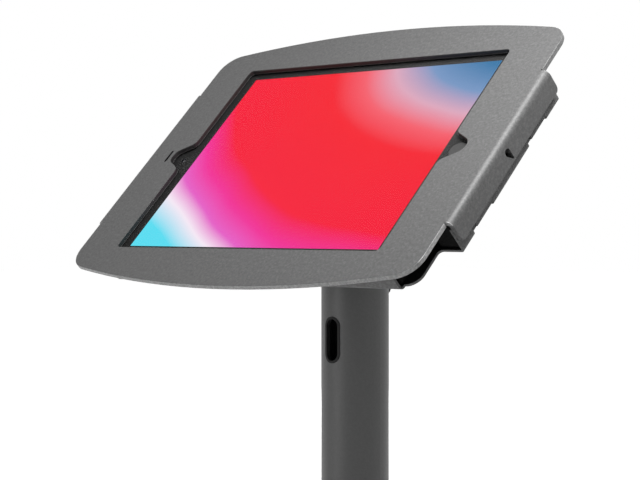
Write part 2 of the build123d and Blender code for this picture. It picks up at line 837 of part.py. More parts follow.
def make_tray_grommet():
    """A soft ring in the tray's cable hole, with a lip on each side of the panel."""
    back = -tray_depth - grommet_lip_height
    front = -tray_panel_depth + grommet_lip_height
    lip = slab(Circle(tray_cable_hole_radius + grommet_lip), -tray_panel_depth, front)
    rim = lip.edges().group_by(Axis.Z)[-1]
    lip = fillet(rim, grommet_lip_height / 2)
    back_lip = slab(Circle(tray_cable_hole_radius + grommet_back_lip), back, -tray_depth)
    sleeve = slab(Circle(tray_cable_hole_radius), back, -tray_panel_depth)
    clear = tray_cable_hole_radius - grommet_wall
    return lip + back_lip + sleeve - disc(0, 0, clear, back - overrun, front + overrun)


# Foam that holds the tablet in the tray

def make_back_pads():
    pitch_x = tablet_width - back_pad_width - 2 * back_pad_inset
    pitch_y = 2 * (tray_half_height - end_bend_radius - foam_gap) - back_pad_height
    pads = []
    for x, y in corners(pitch_x, pitch_y):
        pad = Pos(x, y) * rounded(back_pad_width, back_pad_height, back_pad_corner_radius)
        pads.append(slab(pad, -tray_panel_depth, -tablet_back_depth - foam_gap))
    return pads


def make_side_pads():
    """Foam between the tablet's ends and the side walls, clear of the lock and of the cable."""
    x_low = tablet_width / 2 + foam_gap
    x_high = tray_outer - tray_bend_radius - foam_gap
    top = wing_half_length - side_pad_end_gap
    z_low = -tray_panel_depth
    z_high = -side_pad_front_depth
    upper = block(x_low, x_high, top - side_pad_length, top, z_low, z_high)
    lower = block(x_low, x_high, -top, -top + side_pad_length, z_low, z_high)
    short_low = hook_foot_high + short_pad_from_hook
    short = block(-x_high, -x_low, short_low, short_low + short_pad_length, z_low, z_high)
    return [*both_sides(upper), lower, short]


# Cover hinge, two short hinges behind the top of the cover

def hinge_bar(radius, x_low, x_high):
    """A round bar on the hinge's axis."""
    return bar_x(hinge_axis_y, -hinge_axis_depth, radius, x_low, x_high)


def hinge_bore():
    return hinge_bar(hinge_pin_radius + hinge_pin_clearance, -hinge_length, hinge_length)


def hinge_spans():
    """Along x from the hinge's middle: its half length and where the middle knuckle ends."""
    half = hinge_length / 2
    return half, half - hinge_end_knuckle - hinge_knuckle_side_gap


def make_cover_leaf():
    """The leaf on the back of the cover, with a knuckle at each end."""
    half, middle = hinge_spans()
    leaf_low = hinge_axis_y + hinge_knuckle_radius + hinge_leaf_gap
    z_low = -cover_sheet - hinge_leaf_thickness
    pieces = [block(-half, half, leaf_low, leaf_low + cover_leaf_reach, z_low, -cover_sheet)]
    for low, high in ((-half, -half + hinge_end_knuckle), (half - hinge_end_knuckle, half)):
        arm = block(low, high, hinge_axis_y, leaf_low, z_low, -cover_sheet)
        pieces += [arm, hinge_bar(hinge_knuckle_radius, low, high)]
    return Part() + pieces - hinge_bore()


def make_tray_leaf():
    """The leaf riveted to the tray's top wall, with one knuckle in the middle."""
    half, middle = hinge_spans()
    leaf_front = hinge_axis_depth + hinge_knuckle_radius + hinge_leaf_gap
    y_high = tray_half_height + hinge_leaf_thickness
    leaf = block(-half, half, tray_half_height, y_high, -leaf_front - tray_leaf_reach, -leaf_front)
    arm = block(-middle, middle, tray_half_height, y_high, -leaf_front, -hinge_axis_depth)
    tray_leaf = Part() + [leaf, arm, hinge_bar(hinge_knuckle_radius, -middle, middle)] - hinge_bore()
    return tray_leaf - make_rivet_holes(tray_half_height - overrun, y_high + overrun)


def at_hinges(piece):
    """The same piece at both hinges."""
    return [Pos(side * hinge_centre, 0, 0) * piece for side in (-1, 1)]


def make_hinge_pin():
    half = hinge_length / 2
    ends = [(half, half + hinge_pin_head_length), (-half - hinge_pin_head_length, -half)]
    heads = [hinge_bar(hinge_pin_head_radius, low, high) for low, high in ends]
    return Part() + [hinge_bar(hinge_pin_radius, -half, half), *heads]


def make_hinge_rivets():
    inside = tray_half_height - tray_sheet
    outside = tray_half_height + hinge_leaf_thickness
    rivets = []
    for x, depth in rivet_places():
        shank = bar_y(x, -depth, rivet_radius, inside, outside)
        head = bar_y(x, -depth, rivet_head_radius, outside, outside + rivet_head_height)
        rivets += at_hinges(Part() + [shank, head])
    return rivets


# Cam lock

def make_lock_housing():
    back = -tray_depth
    flange = disc(lock_x, lock_y, lock_flange_radius, back - lock_flange_thickness, back)
    rim = flange.edges().group_by(Axis.Z)[0]
    flange = fillet(rim, lock_flange_thickness / 2)
    body_front = -cam_depth - cam_thickness - cam_gap
    body = disc(lock_x, lock_y, lock_body_radius, back, body_front)
    bore = lock_plug_radius + lock_plug_clearance
    bore_back = back - lock_flange_thickness - overrun
    return flange + body - disc(lock_x, lock_y, bore, bore_back, body_front + overrun)


def make_lock_nut():
    nut = plain_nut(lock_nut_across, lock_nut_thickness, lock_body_radius)
    return Pos(lock_x, lock_y, -tray_panel_depth) * Rot(0, 0, 90) * nut


def make_lock_plug():
    """The part that turns with the key, with its keyway on the back."""
    back = -tray_depth - lock_flange_thickness - lock_plug_proud
    front = -cam_depth - cam_thickness
    plug = disc(lock_x, lock_y, lock_plug_radius, back, front)
    keyway = Pos(lock_x, lock_y) * Rectangle(keyway_width, keyway_length)
    plug -= slab(keyway, back - overrun, back + keyway_depth)
    return plug - disc(lock_x, lock_y, cam_screw_radius, front - cam_screw_length, front + overrun)


def make_lock_cam():
    """The cam points inwards, behind the tablet, so the cover is free; a quarter turn locks it."""
    cam = Pos(cam_reach / 2 - cam_width / 4, 0) * SlotOverall(cam_reach + cam_width / 2, cam_width)
    cam = Pos(lock_x, lock_y) * cam
    back = -cam_depth - cam_thickness
    cam = slab(cam, back, -cam_depth)
    return cam - disc(lock_x, lock_y, cam_screw_radius, back - overrun, -cam_depth + overrun)


def make_cam_screw():
    head = disc(lock_x, lock_y, cam_screw_head_radius, -cam_depth, -cam_depth + cam_screw_head_height)
    rim = head.edges().group_by(Axis.Z)[-1]
    head = fillet(rim, cam_screw_head_height / 2)
    return head + disc(lock_x, lock_y, cam_screw_radius, -cam_depth - cam_screw_length, -cam_depth)


def make_latch_hook():
    """A strap on the back of the cover whose lip the turned cam holds."""
    lip_front = cam_depth + cam_thickness + hook_lip_clearance
    lip_back = lip_front + hook_sheet
    foot_back = -cover_sheet - hook_sheet
    x_low = lock_x - hook_width / 2
    x_high = lock_x + hook_width / 2
    shank = block(x_low, x_high, hook_foot_low, hook_foot_low + hook_sheet, -lip_back, -cover_sheet)
    lip = block(x_low, x_high, hook_tip, hook_foot_low, -lip_back, -lip_front)
    foot = block(x_low, x_high, hook_foot_low, hook_foot_high, foot_back, -cover_sheet)
    return Part() + [shank, lip, foot]


# Tablet

def tablet_outline(margin):
    return rounded(tablet_width - 2 * margin, tablet_height - 2 * margin, tablet_corner_radius - margin)


def make_tablet_shell():
    shell = slab(tablet_outline(0), -tablet_back_depth, -rim_depth)
    rim = shell.edges().group_by(Axis.Z)[0]
    shell = fillet(rim, tablet_back_round)
    shell -= slab(tablet_outline(glass_inset - glass_seat_gap), -glass_back_depth, 0)
    cavity = tablet_outline(glass_inset + tablet_shell_wall)
    shell -= slab(cavity, -tablet_back_depth + tablet_back_wall, 0)
    x, y = rear_camera_place()
    shell -= disc(x, y, rear_camera_radius, -tablet_back_depth - overrun, -glass_back_depth)
    port = Plane.YZ * SlotOverall(port_width, port_height)
    port = extrude(port, tablet_width, dir=(1, 0, 0))
    shell -= Pos(tablet_width / 2 - overrun, 0, -edge_button_depth()) * port
    for x, y, length, way in edge_buttons().values():
        shell -= edge_pocket(x, y, length, way)
    return shell


def rear_camera_place():
    return rear_camera_from_side - tablet_width / 2, tablet_height / 2 - rear_camera_from_top


def edge_button_depth():
    """How deep the side buttons and the port lie behind the cover's face."""
    flat_side = tablet_thickness - glass_proud - tablet_back_round
    return rim_depth + flat_side / 2


def edge_buttons():
    """Each side button's place on the tablet's edge, its length and which way it is pressed."""
    top = tablet_height / 2
    side = -tablet_width / 2
    first = side + volume_button_from_corner
    return {
        "power_button": (side, top - power_button_from_corner, power_button_length, "x"),
        "volume_up_button": (first, top, volume_button_length, "y"),
        "volume_down_button": (first + volume_button_pitch, top, volume_button_length, "y"),
    }


def edge_solid(x, y, length, way, margin, reach_in, reach_out):
    """A bar with round ends that stands through the tablet's edge."""
    section = SlotOverall(length + 2 * margin, edge_button_width + 2 * margin)
    if way == "x":
        bar = extrude(Plane.YZ * section, reach_in + reach_out, dir=(1, 0, 0))
        return Pos(x - reach_out, y, -edge_button_depth()) * bar
    bar = extrude(Plane.XZ * section, reach_in + reach_out, dir=(0, 1, 0))
    return Pos(x, y - reach_in, -edge_button_depth()) * bar


def edge_pocket(x, y, length, way):
    reach = glass_inset + tablet_shell_wall + overrun
    return edge_solid(x, y, length, way, edge_button_gap, reach, overrun)


def make_edge_button(name):
    x, y, length, way = edge_buttons()[name]
    return edge_solid(x, y, length, way, 0, edge_button_body, edge_button_proud)


def home_button_hole():
    return disc(home_button_reach, 0, home_button_radius + home_button_gap, -tray_depth, overrun)


def make_tablet_glass():
    glass = slab(tablet_outline(glass_inset), -glass_back_depth, -glass_depth)
    rim = glass.edges().group_by(Axis.Z)[-1]
    glass = fillet(rim, glass_thickness / 3)
    return glass - home_button_hole()


def make_bezel_frame():
    edge = glass_inset + tablet_shell_wall + bezel_frame_gap
    frame = tablet_outline(edge) - Rectangle(screen_width, screen_height)
    frame = slab(frame, -glass_back_depth - bezel_frame_thickness, -glass_back_depth)
    frame -= home_button_hole()
    return frame - disc(-home_button_reach, 0, front_camera_radius, -tray_depth, overrun)


def display_back():
    return glass_back_depth + bezel_frame_thickness + display_thickness


def make_display_panel():
    low = -display_back()
    backing = Rectangle(screen_width + 2 * display_border, screen_height + 2 * display_border)
    panel = slab(backing, low, -glass_back_depth - bezel_frame_thickness)
    lit = slab(Rectangle(screen_width, screen_height), low, -glass_back_depth)
    return panel + lit


def make_battery():
    """Two flat cells side by side, resting on the back shell."""
    cell_x = battery_cell_width / 2 + battery_cell_gap / 2
    low = -tablet_back_depth + tablet_back_wall
    cell = rounded(battery_cell_width, battery_cell_height, battery_cell_gap / 2)
    return [slab(Pos(side * cell_x, 0) * cell, low, low + battery_cell_thickness) for side in (-1, 1)]


def make_logic_board():
    x = board_edge - board_width / 2
    low = -tablet_back_depth + tablet_back_wall
    return slab(Pos(-x, 0) * Rectangle(board_width, battery_cell_height), low, low + board_thickness)


def make_home_button():
    front = -glass_depth - home_button_sunk
    button = disc(home_button_reach, 0, home_button_radius, front - home_button_thickness, front)
    rim = button.edges().group_by(Axis.Z)[-1]
    return fillet(rim, home_button_round)


def make_front_camera():
    back = -glass_back_depth - front_camera_length
    return disc(-home_button_reach, 0, front_camera_radius, back, -glass_back_depth)


def make_rear_camera():
    x, y = rear_camera_place()
    return disc(x, y, rear_camera_radius, -tablet_back_depth, -tablet_back_depth + rear_camera_length)


# Writing every node

os.makedirs("parts", exist_ok=True)

save("base_plate", make_base_plate())
save("base_mat", make_base_mat())
save("pole_foot", make_pole_foot())
save("foot_screws", *make_foot_screws())
save("foot_set_screws", *make_set_screws(pole_bottom + set_screw_from_end))
save("pole", make_pole())
save("upper_slot_grommet", make_slot_grommet("upper"))
save("lower_slot_grommet", make_slot_grommet("lower"))
save("pole_head", make_pole_head())
save("head_set_screws", *make_set_screws(pole_top - set_screw_from_end))

save_head("tilt_bracket", make_tilt_bracket())
save_head("pivot_bolt", make_pivot_bolt())
save_head("pivot_nut", make_pivot_nut())
save_head("friction_washers", *make_friction_washers())
save_head("spring_washer", make_spring_washer())
save_head("bracket_screws", *make_bracket_screws())
save_head("bracket_nuts", *make_bracket_nuts())

save_head("front_cover", make_front_cover())
save_head("screen_gasket", *make_screen_gasket())
save_head("rear_tray", make_rear_tray())
save_head("tray_grommet", make_tray_grommet())
save_head("back_foam_pads", *make_back_pads())
save_head("side_foam_pads", *make_side_pads())
save_head("cover_hinge_leaves", *at_hinges(make_cover_leaf()))
save_head("tray_hinge_leaves", *at_hinges(make_tray_leaf()))
save_head("hinge_pins", *at_hinges(make_hinge_pin()))
save_head("hinge_rivets", *make_hinge_rivets())
save_head("lock_housing", make_lock_housing())
save_head("lock_nut", make_lock_nut())
save_head("lock_plug", make_lock_plug())
save_head("lock_cam", make_lock_cam())
save_head("lock_cam_screw", make_cam_screw())
save_head("cover_latch_hook", make_latch_hook())

save_head("tablet_shell", make_tablet_shell())
save_head("tablet_glass", make_tablet_glass())
save_head("tablet_bezel", make_bezel_frame())
save_head("tablet_display", make_display_panel())
save_head("tablet_battery", *make_battery())
save_head("tablet_logic_board", make_logic_board())
save_head("tablet_front_camera", make_front_camera())
save_head("tablet_rear_camera", make_rear_camera())
save_head("home_button", make_home_button())
for button_name in edge_buttons():
    save_head(button_name, make_edge_button(button_name))
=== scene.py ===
import json
from math import cos, pi, radians, sin

import bmesh
import bpy
from mathutils import Matrix, Vector


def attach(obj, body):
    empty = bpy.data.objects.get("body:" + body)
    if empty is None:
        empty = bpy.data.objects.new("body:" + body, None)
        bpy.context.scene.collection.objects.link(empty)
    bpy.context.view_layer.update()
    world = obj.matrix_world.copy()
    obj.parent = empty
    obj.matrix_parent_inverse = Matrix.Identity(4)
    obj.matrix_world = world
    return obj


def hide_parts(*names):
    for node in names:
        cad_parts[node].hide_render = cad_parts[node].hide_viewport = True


# The looks of a kiosk stand that holds a tablet: powder coated sheet steel, a lit screen behind glass,
# foam pads, rubber edgings and plated hardware. Metres, the stand at rest, the user on the -Y side.

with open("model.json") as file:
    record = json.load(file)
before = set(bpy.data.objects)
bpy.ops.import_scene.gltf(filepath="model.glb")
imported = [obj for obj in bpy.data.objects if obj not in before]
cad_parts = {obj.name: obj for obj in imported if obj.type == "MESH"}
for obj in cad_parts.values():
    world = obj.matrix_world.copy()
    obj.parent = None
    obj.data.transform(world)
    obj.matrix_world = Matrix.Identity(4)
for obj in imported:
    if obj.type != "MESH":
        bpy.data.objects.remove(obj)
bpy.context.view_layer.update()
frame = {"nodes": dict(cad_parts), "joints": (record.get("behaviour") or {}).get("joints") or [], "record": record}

MM = 0.001

# The camera, fitted to the photograph
CAMERA_AZIMUTH = radians(43.99)
CAMERA_FOCAL = 97.24
CAMERA_SENSOR = 36.0
CAMERA_SHIFT = (0.0167, -0.030)
CAMERA_NEAR = 10 * MM
WINDOW_CENTRE = Vector((0.0, -41.0, 279.0)) * MM
WINDOW_FROM_CAMERA = Vector((-1.4, 40.5, 993.3)) * MM

# The tablet's lit area, the film that carries its picture, and how far the glass stays off what lies behind it
SCREEN_WIDTH = 196.6 * MM
SCREEN_HEIGHT = 147.5 * MM
PICTURE_FILM = 0.1 * MM
PICTURE_MARGIN = 0.05 * MM
GLASS_CLEARANCE = 0.15 * MM

# Sheet steel: its thickness, a margin at its cut edges, and how far out the cover's small slot is
COVER_SHEET = 2.7 * MM
TRAY_SHEET = 1.5 * MM
CUT_EDGE_MARGIN = 0.3 * MM
SLOT_FROM_MIDDLE = 118.0 * MM

# How much painted light or painted shade some places of the coats get, as shares of the coat's colour
LOWER_EDGE_PAINTED_LIGHT = 4.4
UPPER_EDGE_PAINTED_LIGHT = 1.9
WING_END_PAINTED_LIGHT = 1.4
WINDOW_EDGE_PAINTED_SHADE = 0.12
SLOT_EDGE_PAINTED_SHADE = 0.01
TRAY_INSIDE_PAINTED_SHADE = 0.03

# Foam
FOAM_ROUND_STEPS = 4
FOAM_ROUND = 0.9 * MM
FOAM_CROWN = 0.15 * MM
STRIP_ROUND = 0.15 * MM
STRIP_CROWN = 0.03 * MM

# Weld beads where the bracket's ears meet its plate
BEAD_RADIUS = 1.7 * MM
BEAD_RIPPLE = 1.5 * MM
BEAD_RIPPLE_SHARE = 0.16
BEAD_HALF_LENGTH = 26.0 * MM
BEAD_STEPS_PER_RIPPLE = 6
BEAD_SIDES = 6
BEAD_END_SHARE = 0.2

# How near to each other two vertices of a node count as one
MERGE_DISTANCE = 0.001 * MM


# The head's own frame

def joint(name):
    return next(entry for entry in frame["joints"] if entry["name"] == name)


RIGHT = Vector((1.0, 0.0, 0.0))
NORMAL = -Vector(joint("home_press")["axis"]).normalized()
UP = NORMAL.cross(RIGHT)
PIVOT = Vector(joint("head_tilt")["pos_m"])


def head_origin():
    """The point of the cover's front face that lies straight above the pivot."""
    cover = frame["nodes"]["front_cover"]
    front = max(vertex.co.dot(NORMAL) for vertex in cover.data.vertices)
    return PIVOT + NORMAL * (front - PIVOT.dot(NORMAL))


ORIGIN = head_origin()
HEAD = Matrix.Translation(ORIGIN) @ Matrix((RIGHT, UP, NORMAL)).transposed().to_4x4()
TO_HEAD = HEAD.inverted()


def head_points(node):
    """All the vertices of a node, in the head's frame."""
    return [TO_HEAD @ vertex.co for vertex in frame["nodes"][node].data.vertices]


def solid_boxes(node):
    """The lowest and highest corner of each solid of a node, in the head's frame."""
    work = bmesh.new()
    work.from_mesh(frame["nodes"][node].data)
    bmesh.ops.remove_doubles(work, verts=work.verts, dist=MERGE_DISTANCE)
    boxes = []
    left = set(work.verts)
    while left:
        group = []
        front = [left.pop()]
        while front:
            vertex = front.pop()
            group.append(TO_HEAD @ vertex.co)
            for edge in vertex.link_edges:
                other = edge.other_vert(vertex)
                if other in left:
                    left.remove(other)
                    front.append(other)
        low = Vector([min(point[axis] for point in group) for axis in range(3)])
        high = Vector([max(point[axis] for point in group) for axis in range(3)])
        boxes.append((low, high))
    work.free()
    return sorted(boxes, key=lambda box: tuple(box[0]))


# Materials

# The middle of a noise's range, over which a mottle runs from dark to light
MOTTLE_LOW = 0.3
MOTTLE_HIGH = 0.7

# How much further a coat's grain goes to the light side than to the dark
COAT_LIGHT_SHARE = 1.6

# Drawing lines on steel: how fine their noise is along each axis
DRAWN_GRAIN = (60.0, 60.0, 1400.0)

# How little, as a cosine, a face may look along a direction and still count as facing it
FACING_COSINE = 0.7

# The sockets of a colour mix
MIX_FACTOR, MIX_FIRST, MIX_SECOND, MIX_RESULT = 0, 6, 7, 2


class Look:
    """A node material with its shader at hand."""

    def __init__(self, name, color, roughness, metallic=0.0, specular=0.5):
        self.material = bpy.data.materials.new(name)
        self.material.use_nodes = True
        self.tree = self.material.node_tree
        self.shader = self.tree.nodes["Principled BSDF"]
        self.shader.inputs["Base Color"].default_value = (*color, 1.0)
        self.shader.inputs["Roughness"].default_value = roughness
        self.shader.inputs["Metallic"].default_value = metallic
        self.shader.inputs["Specular IOR Level"].default_value = specular
        self.material.diffuse_color = (*color, 1.0)
        self.place = self.node("ShaderNodeTexCoord").outputs["Object"]

    def node(self, kind):
        return self.tree.nodes.new(kind)

    def link(self, output, target):
        self.tree.links.new(output, target)

    def noise(self, scale, detail=3.0, roughness=0.6, place=None):
        texture = self.node("ShaderNodeTexNoise")
        texture.inputs["Scale"].default_value = scale
        texture.inputs["Detail"].default_value = detail
        texture.inputs["Roughness"].default_value = roughness
        self.link(place or self.place, texture.inputs["Vector"])
        return texture.outputs["Fac"]

    def cells(self, scale, feature="F1"):
        texture = self.node("ShaderNodeTexVoronoi")
        texture.feature = feature
        texture.inputs["Scale"].default_value = scale
        self.link(self.place, texture.inputs["Vector"])
        return texture.outputs["Distance"]

    def stretched(self, scale):
        """The place, scaled by a different amount along each axis."""
        mapping = self.node("ShaderNodeMapping")
        mapping.inputs["Scale"].default_value = scale
        self.link(self.place, mapping.inputs["Vector"])
        return mapping.outputs["Vector"]

    def ramp(self, value, stops):
        ramp = self.node("ShaderNodeValToRGB")
        while len(ramp.color_ramp.elements) < len(stops):
            ramp.color_ramp.elements.new(1.0)
        for element, (position, color) in zip(ramp.color_ramp.elements, stops):
            element.position = position
            element.color = (*color, 1.0)
        self.link(value, ramp.inputs["Fac"])
        return ramp.outputs["Color"]

    def math(self, operation, first, second=None):
        """One sum; first and second are outputs or numbers."""
        step = self.node("ShaderNodeMath")
        step.operation = operation
        for socket, value in zip(step.inputs, (first, second)):
            if isinstance(value, (int, float)):
                socket.default_value = value
            elif value is not None:
                self.link(value, socket)
        return step.outputs["Value"]

    def along(self, direction):
        """How far a point lies along a direction, measured from the stand's origin."""
        dot = self.node("ShaderNodeVectorMath")
        dot.operation = "DOT_PRODUCT"
        self.link(self.place, dot.inputs[0])
        dot.inputs[1].default_value = direction
        return dot.outputs["Value"]

    def head_place(self):
        """Distances from the middle of the head to the side and upright, and the depth behind its face."""
        across = self.math("ABSOLUTE", self.math("SUBTRACT", self.along(RIGHT), ORIGIN.dot(RIGHT)))
        upright = self.math("ABSOLUTE", self.math("SUBTRACT", self.along(UP), ORIGIN.dot(UP)))
        depth = self.math("SUBTRACT", ORIGIN.dot(NORMAL), self.along(NORMAL))
        return across, upright, depth

    def faces_along(self, direction):
        """1 where a face looks along a direction or against it, and 0 elsewhere."""
        dot = self.node("ShaderNodeVectorMath")
        dot.operation = "DOT_PRODUCT"
        self.link(self.node("ShaderNodeTexCoord").outputs["Normal"], dot.inputs[0])
        dot.inputs[1].default_value = direction
        return self.math("GREATER_THAN", self.math("ABSOLUTE", dot.outputs["Value"]), FACING_COSINE)

    def between(self, value, low, high):
        return self.every(self.math("GREATER_THAN", value, low), self.math("LESS_THAN", value, high))

    def every(self, first, *others):
        """1 where all of the masks are 1."""
        for other in others:
            first = self.math("MULTIPLY", first, other)
        return first

    def other_than(self, mask):
        return self.math("SUBTRACT", 1.0, mask)

    def shaded(self, color, mask, share):
        """A colour, made darker or lighter where the mask is 1."""
        mix = self.node("ShaderNodeMix")
        mix.data_type = "RGBA"
        mix.blend_type = "MULTIPLY"
        mix.clamp_result = False
        self.link(mask, mix.inputs[MIX_FACTOR])
        self.link(color, mix.inputs[MIX_FIRST])
        mix.inputs[MIX_SECOND].default_value = (share, share, share, 1.0)
        return mix.outputs[MIX_RESULT]

    def mottle(self, value, dark, light):
        """Colours the look from dark to light with a noise."""
        self.color(self.ramp(value, [(MOTTLE_LOW, dark), (MOTTLE_HIGH, light)]))

    def color(self, output):
        self.link(output, self.shader.inputs["Base Color"])

    def rough(self, value, low, high):
        spread = self.node("ShaderNodeMapRange")
        spread.inputs["To Min"].default_value = low
        spread.inputs["To Max"].default_value = high
        self.link(value, spread.inputs["Value"])
        self.link(spread.outputs["Result"], self.shader.inputs["Roughness"])

    def bump(self, height, strength, distance):
        """Adds one layer of relief, on top of the layers that are there."""
        layer = self.node("ShaderNodeBump")
        layer.inputs["Strength"].default_value = strength
        layer.inputs["Distance"].default_value = distance
        self.link(height, layer.inputs["Height"])
        below = self.shader.inputs["Normal"].links
        if below:
            self.link(below[0].from_socket, layer.inputs["Normal"])
        self.link(layer.outputs["Normal"], self.shader.inputs["Normal"])


def grey(level):
    """A neutral colour from an sRGB level of 0 to 255."""
    share = level / 255
    linear = share / 12.92 if share <= 0.04045 else ((share + 0.055) / 1.055) ** 2.4
    return (linear, linear, linear)


def sixteen(text):
    """A linear colour from six hexadecimal digits."""
    return tuple(grey(int(text[start:start + 2], 16))[0] for start in (0, 2, 4))


def scaled(color, share):
    return tuple(channel * share for channel in color)


def coat(name, level, grain_share, roughness, specular=0.6):
    """Fine textured powder coat with a low orange peel, and its speckled grey."""
    base = grey(level)
    look = Look(name, base, roughness, specular=specular)
    grain = look.noise(620.0, detail=5.0, roughness=0.8)
    tone = look.ramp(grain, [
        (MOTTLE_LOW, scaled(base, 1 - grain_share)),
        (0.5, base),
        (MOTTLE_HIGH, scaled(base, 1 + COAT_LIGHT_SHARE * grain_share)),
    ])
    look.rough(look.noise(700.0), low=roughness - 0.08, high=roughness + 0.12)
    look.bump(look.cells(820.0), strength=0.22, distance=0.12 * MM)
    look.bump(look.noise(2600.0, detail=2.0), strength=0.12, distance=0.05 * MM)
    return look, tone


def powder_coat(name, level, grain_share, roughness=0.52):
    look, tone = coat(name, level, grain_share, roughness)
    look.color(tone)
    return look.material


def cover_coat_painted_light(name, level):
    """The cover's coat, with a painted highlight on its outer cut edges and wing ends, and painted shade on the
    cut edges of the window and its slot.
    """
    look, tone = coat(name, level, grain_share=0.4, roughness=0.5)
    points = head_points("front_cover")
    wing_half_length = max(abs(point.y) for point in points if point.z < -2 * COVER_SHEET)
    window_half_height = SCREEN_HEIGHT / 2 + 2 * COVER_SHEET
    across, upright, depth = look.head_place()
    cut_edge = look.between(depth, CUT_EDGE_MARGIN / 3, COVER_SHEET - CUT_EDGE_MARGIN / 6)
    near_face = look.between(depth, CUT_EDGE_MARGIN / 6, COVER_SHEET - CUT_EDGE_MARGIN)
    inner = look.every(
        look.math("LESS_THAN", across, SLOT_FROM_MIDDLE), look.math("LESS_THAN", upright, window_half_height)
    )
    slot = look.every(
        look.between(across, SLOT_FROM_MIDDLE, SLOT_FROM_MIDDLE + 2 * COVER_SHEET),
        look.math("LESS_THAN", upright, window_half_height / 4),
    )
    past_wing = look.math("GREATER_THAN", upright, wing_half_length - CUT_EDGE_MARGIN)
    outer = look.every(look.other_than(inner), look.other_than(slot), past_wing)
    # Painted shade: the cut edges of the window and of the small slot are darkened, as if they lay in shade
    tone = look.shaded(tone, look.every(near_face, inner), WINDOW_EDGE_PAINTED_SHADE)
    tone = look.shaded(tone, look.every(near_face, slot), SLOT_EDGE_PAINTED_SHADE)
    # Painted highlight: the outer cut edges are lightened, the lower ones more, as if they caught the light from
    # below
    lower = look.math("LESS_THAN", look.along(UP), ORIGIN.dot(UP))
    tone = look.shaded(tone, look.every(cut_edge, outer, lower), LOWER_EDGE_PAINTED_LIGHT)
    tone = look.shaded(tone, look.every(cut_edge, outer, look.other_than(lower)), UPPER_EDGE_PAINTED_LIGHT)
    # Painted highlight: the ends of the wings are lightened, as if lit from below
    wing_end = look.every(look.math("GREATER_THAN", depth, COVER_SHEET), past_wing, look.faces_along(UP))
    tone = look.shaded(tone, wing_end, WING_END_PAINTED_LIGHT)
    look.color(tone)
    return look.material


def tray_coat_painted_shade(name, level):
    """The tray's coat, with painted shade over all of its inside."""
    look, tone = coat(name, level, grain_share=0.3, roughness=0.52, specular=0.2)
    points = head_points("rear_tray")
    side_wall = max(point.x for point in points) - TRAY_SHEET
    end_wall = max(point.y for point in points) - TRAY_SHEET
    panel = -min(point.z for point in points) - TRAY_SHEET
    across, upright, depth = look.head_place()
    margin = CUT_EDGE_MARGIN / 3
    inside = look.every(
        look.math("LESS_THAN", across, side_wall + margin),
        look.math("LESS_THAN", upright, end_wall + margin),
        look.math("LESS_THAN", depth, panel + margin),
    )
    # Painted shade: the whole inside of the tray is darkened, as if it lay in shade behind the cover
    look.color(look.shaded(tone, inside, TRAY_INSIDE_PAINTED_SHADE))
    return look.material


def rubber(name, level):
    """Moulded rubber with a faint bloom and a fine tooth."""
    base = grey(level)
    look = Look(name, base, roughness=0.75, specular=0.35)
    look.mottle(look.noise(90.0), scaled(base, 0.7), scaled(base, 1.5))
    look.bump(look.noise(1500.0), strength=0.3, distance=0.08 * MM)
    return look.material


def ribbed_rubber(name, level):
    """The base mat: rubber with fine ribs along X."""
    look = Look(name, grey(level), roughness=0.8, specular=0.3)
    wave = look.node("ShaderNodeTexWave")
    wave.bands_direction = "Y"
    wave.inputs["Scale"].default_value = 160.0
    wave.inputs["Distortion"].default_value = 0.0
    look.link(look.place, wave.inputs["Vector"])
    look.mottle(look.noise(60.0), grey(level - 8), grey(level + 10))
    look.bump(wave.outputs["Fac"], strength=0.6, distance=0.3 * MM)
    look.bump(look.noise(1300.0), strength=0.25, distance=0.06 * MM)
    return look.material


def foam(name, level):
    """Closed cell foam: tiny open pores on a soft matte skin, with painted shade in the pores."""
    base = grey(level)
    look = Look(name, base, roughness=0.95, specular=0.15)
    pores = look.cells(1500.0)
    # Painted shade: the pores are darker than the skin, as shade in their hollows
    look.color(look.ramp(pores, [(0.1, scaled(base, 0.4)), (0.5, base), (0.9, scaled(base, 1.6))]))
    look.bump(pores, strength=0.7, distance=0.25 * MM)
    look.bump(look.noise(300.0), strength=0.3, distance=0.3 * MM)
    return look.material


def plated(name, color, roughness):
    """Plated steel with fine drawing lines and a little uneven tone."""
    look = Look(name, color, roughness, metallic=1.0)
    lines = look.noise(1.0, place=look.stretched(DRAWN_GRAIN))
    look.mottle(lines, scaled(color, 0.82), scaled(color, 1.08))
    look.rough(look.noise(240.0), low=roughness - 0.06, high=roughness + 0.14)
    look.bump(lines, strength=0.1, distance=0.03 * MM)
    return look.material


def black_oxide(name, level):
    """Oiled black oxide on machined steel."""
    base = grey(level)
    look = Look(name, base, roughness=0.42, metallic=0.85)
    look.mottle(look.noise(420.0), scaled(base, 0.6), scaled(base, 1.7))
    look.rough(look.noise(700.0), low=0.32, high=0.55)
    look.bump(look.noise(1900.0), strength=0.1, distance=0.04 * MM)
    return look.material


def blasted_aluminium(name, level):
    """Anodised aluminium with a bead blasted skin."""
    base = grey(level)
    look = Look(name, base, roughness=0.38, metallic=1.0)
    look.mottle(look.noise(1800.0), scaled(base, 0.88), scaled(base, 1.1))
    look.rough(look.noise(500.0), low=0.32, high=0.46)
    look.bump(look.noise(3200.0, detail=1.0), strength=0.12, distance=0.03 * MM)
    return look.material


def nylon(name):
    """Natural nylon, a little cloudy."""
    base = sixteen("d9d6c8")
    look = Look(name, base, roughness=0.45)
    look.shader.inputs["Subsurface Weight"].default_value = 0.2
    look.shader.inputs["Subsurface Radius"].default_value = (2 * MM, 1.6 * MM, 1.2 * MM)
    look.mottle(look.noise(160.0), scaled(base, 0.9), base)
    look.bump(look.noise(900.0), strength=0.12, distance=0.05 * MM)
    return look.material


GLASS_OPACITY = 0.05


